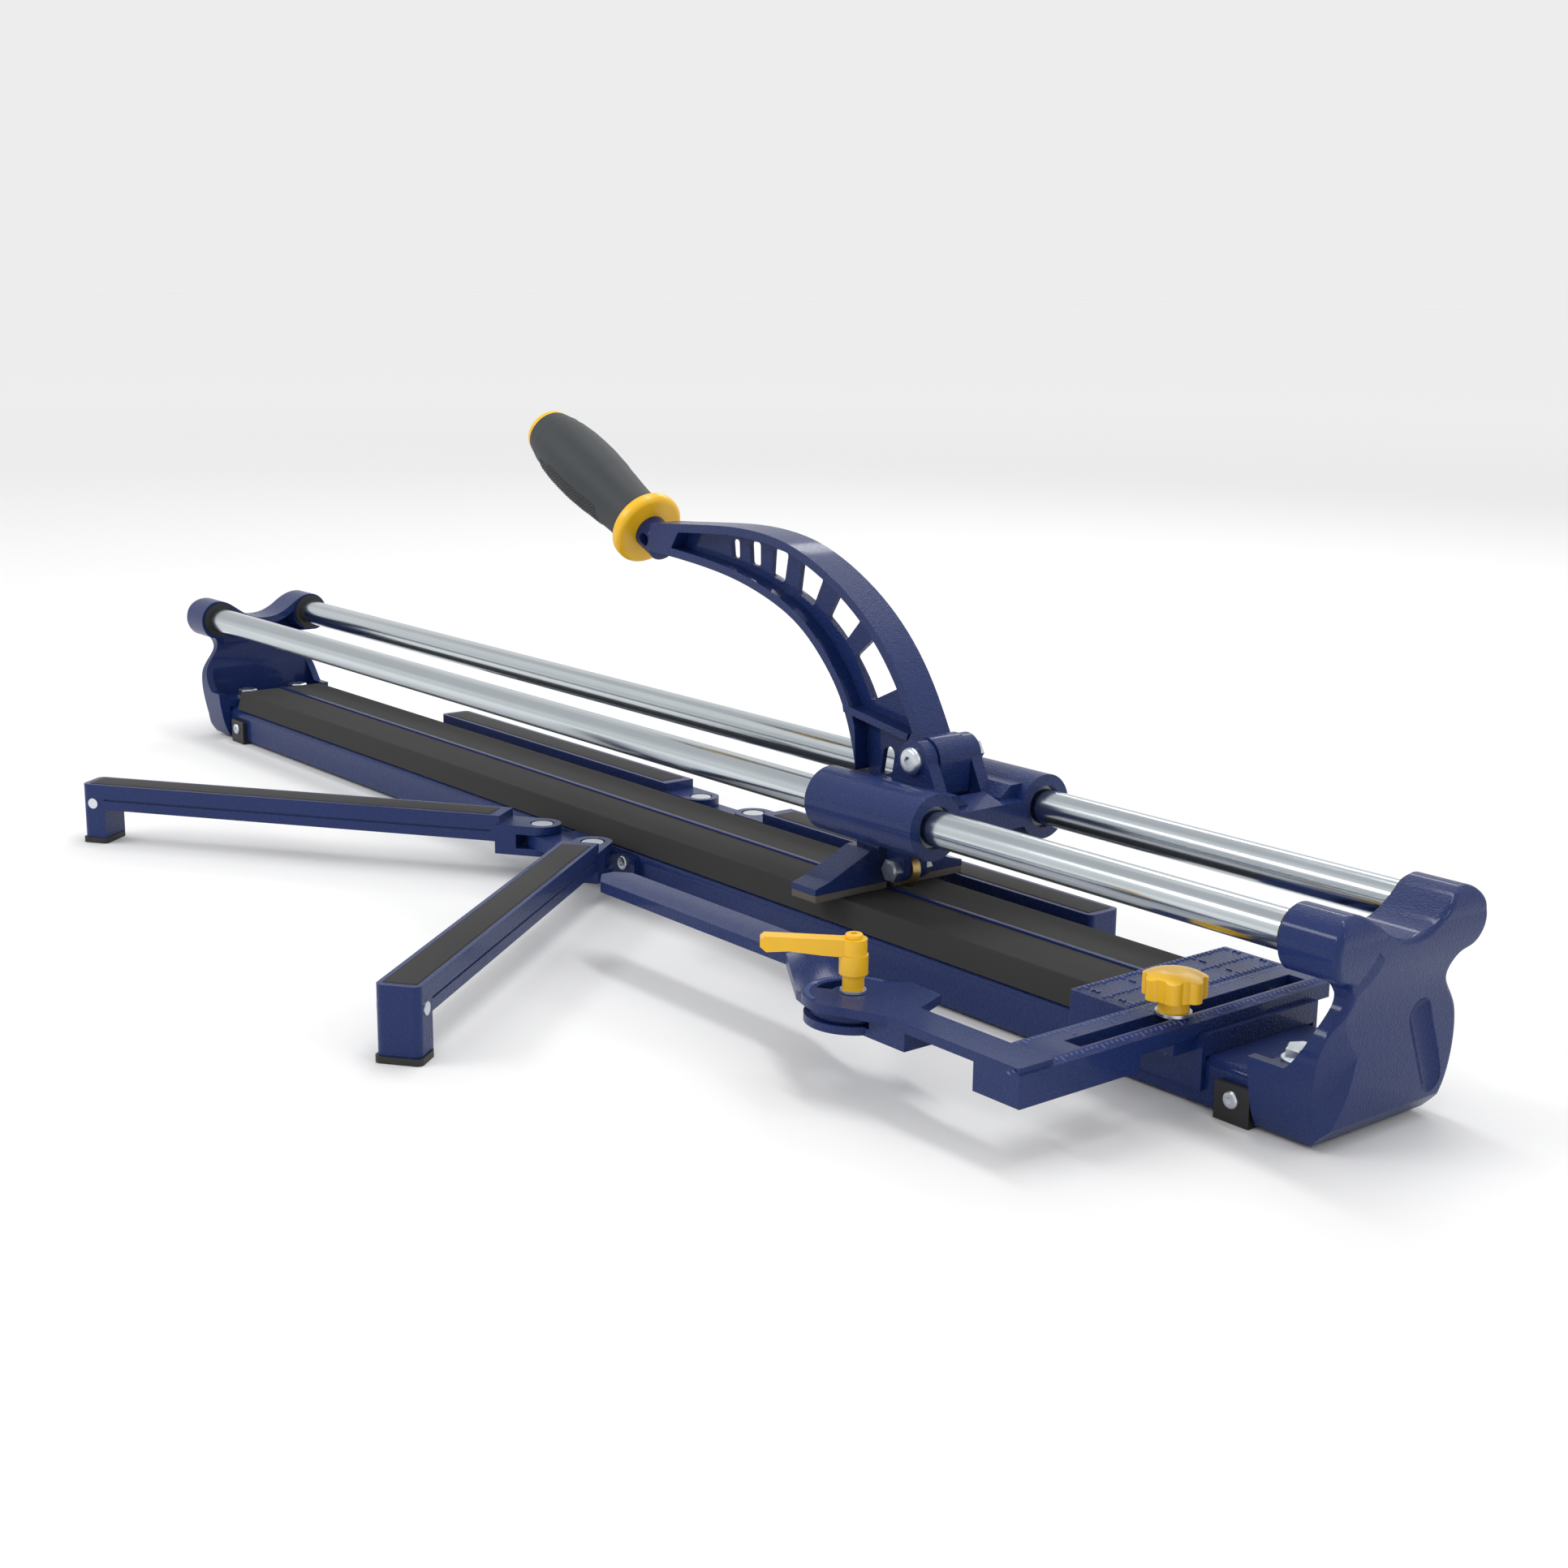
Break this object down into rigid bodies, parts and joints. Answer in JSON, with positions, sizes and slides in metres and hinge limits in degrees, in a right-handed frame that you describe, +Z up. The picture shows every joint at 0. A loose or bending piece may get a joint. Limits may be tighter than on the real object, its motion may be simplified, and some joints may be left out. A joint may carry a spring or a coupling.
{
  "type": "tile cutter",
  "caption": "Manual rail tile cutter: beam with foam pads and breaking ridge, sliding carriage with scoring handle, ruler fence with angle stop, and fold-out support arms.",
  "frame": {"origin": "centre of the bounding box's underside, on the surface the cutter stands on, with the operator-side arms folded out as drawn", "axes": "+X along the rails towards the ruler end, +Y across to the far side, away from the operator, +Z up"},
  "size_m": [1.1324, 0.3824, 0.2822],
  "materials": {
    "blue_hammered_paint": "textured hammered powder coat",
    "foam_pad": "fine matte foam rubber",
    "arm_rubber": "matte rubber",
    "black_rubber": "satin moulded rubber",
    "sole_rubber": "matte rubber",
    "chromed_steel": "bright plated steel",
    "zinc_plated_steel": "zinc plated",
    "yellow_plastic": "glossy moulded plastic",
    "grip_rubber": "matte soft-touch rubber",
    "bush_plastic": "matte moulded plastic",
    "brass": "worn brass coated wheel"
  },
  "bodies": {
    "frame": {"base_beam": "blue_hammered_paint", "breaking_ridge": "blue_hammered_paint", "near_pad": "foam_pad", "far_pad": "foam_pad", "front_casting": "blue_hammered_paint", "rear_casting": "blue_hammered_paint", "near_rail": "chromed_steel", "far_rail": "chromed_steel", "rail_bumpers": "black_rubber", "casting_bolts": "zinc_plated_steel", "casting_washers": "zinc_plated_steel", "rubber_feet": "black_rubber", "foot_screws": "zinc_plated_steel", "near_hinge_bracket": "blue_hammered_paint", "far_hinge_bracket": "blue_hammered_paint", "bracket_screws": "zinc_plated_steel", "hinge_pins": "zinc_plated_steel", "ruler_fence": "blue_hammered_paint"},
    "near_rear_arm_body": {"near_rear_arm": "blue_hammered_paint", "near_rear_arm_pad": "arm_rubber", "near_rear_arm_tip": "black_rubber", "near_rear_arm_rivet": "zinc_plated_steel"},
    "near_front_arm_body": {"near_front_arm": "blue_hammered_paint", "near_front_arm_pad": "arm_rubber", "near_front_arm_tip": "black_rubber", "near_front_arm_rivet": "zinc_plated_steel"},
    "far_rear_arm_body": {"far_rear_arm": "blue_hammered_paint", "far_rear_arm_pad": "arm_rubber", "far_rear_arm_tip": "black_rubber", "far_rear_arm_rivet": "zinc_plated_steel"},
    "far_front_arm_body": {"far_front_arm": "blue_hammered_paint", "far_front_arm_pad": "arm_rubber", "far_front_arm_tip": "black_rubber", "far_front_arm_rivet": "zinc_plated_steel"},
    "extension": {"extension_bar": "blue_hammered_paint"},
    "knob": {"star_knob": "yellow_plastic", "knob_stud": "zinc_plated_steel"},
    "swing_fence": {"angle_fence": "blue_hammered_paint"},
    "lever": {"clamp_lever": "yellow_plastic", "lever_stud": "zinc_plated_steel", "lever_washer": "zinc_plated_steel", "lever_screw": "yellow_plastic"},
    "carriage_body": {"carriage": "blue_hammered_paint", "slide_bushes": "bush_plastic", "pivot_bolt": "zinc_plated_steel", "pivot_nut": "zinc_plated_steel"},
    "handle": {"handle_arm": "blue_hammered_paint", "grip": "grip_rubber", "grip_collar": "yellow_plastic", "grip_cap": "yellow_plastic", "breaker_foot": "blue_hammered_paint", "foot_soles": "sole_rubber", "wheel_fork": "blue_hammered_paint", "wheel_bolt": "zinc_plated_steel"},
    "wheel": {"scoring_wheel": "brass"}
  },
  "joints": [
    {"name": "carriage_slide", "type": "slide", "parent": "frame", "child": "carriage_body", "axis": [1, 0, 0], "range_m": [-0.72, 0.165]},
    {"name": "handle_pivot", "type": "hinge", "parent": "carriage_body", "child": "handle", "pos_m": [0.266, 0.11676, 0.1205], "axis": [0, 1, 0], "range_deg": [0, 18]},
    {"name": "wheel_spin", "type": "hinge", "parent": "handle", "child": "wheel", "pos_m": [0.242, 0.11676, 0.0542], "axis": [0, 1, 0], "continuous": true},
    {"name": "near_rear_arm_hinge", "type": "hinge", "parent": "frame", "child": "near_rear_arm_body", "pos_m": [-0.028, 0.05476, 0.0225], "axis": [0, 0, 1], "range_deg": [-36, 50]},
    {"name": "near_front_arm_hinge", "type": "hinge", "parent": "frame", "child": "near_front_arm_body", "pos_m": [0.028, 0.05476, 0.0225], "axis": [0, 0, 1], "range_deg": [-38, 4]},
    {"name": "far_rear_arm_hinge", "type": "hinge", "parent": "frame", "child": "far_rear_arm_body", "pos_m": [-0.028, 0.17876, 0.0225], "axis": [0, 0, 1], "range_deg": [-90, 0]},
    {"name": "far_front_arm_hinge", "type": "hinge", "parent": "frame", "child": "far_front_arm_body", "pos_m": [0.028, 0.17876, 0.0225], "axis": [0, 0, 1], "range_deg": [0, 90]},
    {"name": "extension_slide", "type": "slide", "parent": "frame", "child": "extension", "axis": [0, 1, 0], "range_m": [-0.015, 0.02]},
    {"name": "star_knob_turn", "type": "hinge", "parent": "frame", "child": "knob", "pos_m": [0.4731, 0.07076, 0.0525], "axis": [0, 0, 1], "range_deg": [-180, 180]},
    {"name": "angle_fence_swing", "type": "hinge", "parent": "extension", "child": "swing_fence", "pos_m": [0.364, -0.02724, 0.0375], "axis": [0, 0, 1], "range_deg": [-15, 3]},
    {"name": "clamp_lever_turn", "type": "hinge", "parent": "extension", "child": "lever", "pos_m": [0.364, -0.02724, 0.0525], "axis": [0, 0, 1], "range_deg": [-60, 60]}
  ]
}
